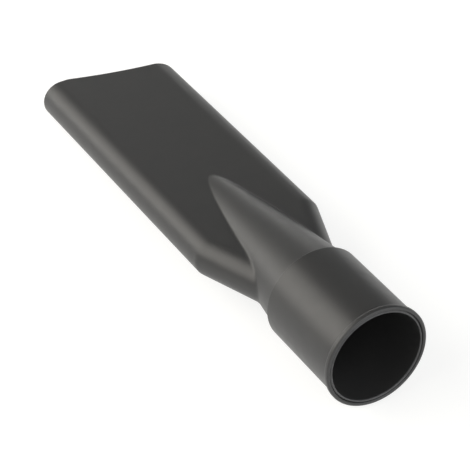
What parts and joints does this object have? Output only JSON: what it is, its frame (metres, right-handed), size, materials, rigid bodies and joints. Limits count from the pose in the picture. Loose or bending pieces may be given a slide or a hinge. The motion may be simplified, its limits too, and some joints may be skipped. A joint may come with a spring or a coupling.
{
  "type": "vacuum crevice nozzle",
  "caption": "Flat tapered crevice tool for a vacuum wand: round push-on socket with a beaded rim, conical transition and a hollow blade with full-round edges and a slanted open end.",
  "frame": {"origin": "centre of the socket's mouth, in the plane of its rim", "axes": "+X along the bore and out of the mouth, the blade reaching towards -X; +Z square to the blade's flats; +Y across the blade, towards the shorter side of its slanted end"},
  "size_m": [0.2033, 0.0514, 0.0398],
  "materials": {
    "black_plastic": "black moulded polypropylene with a fine satin grain"
  },
  "bodies": {
    "root": {"nozzle": "black_plastic"}
  },
  "joints": []
}
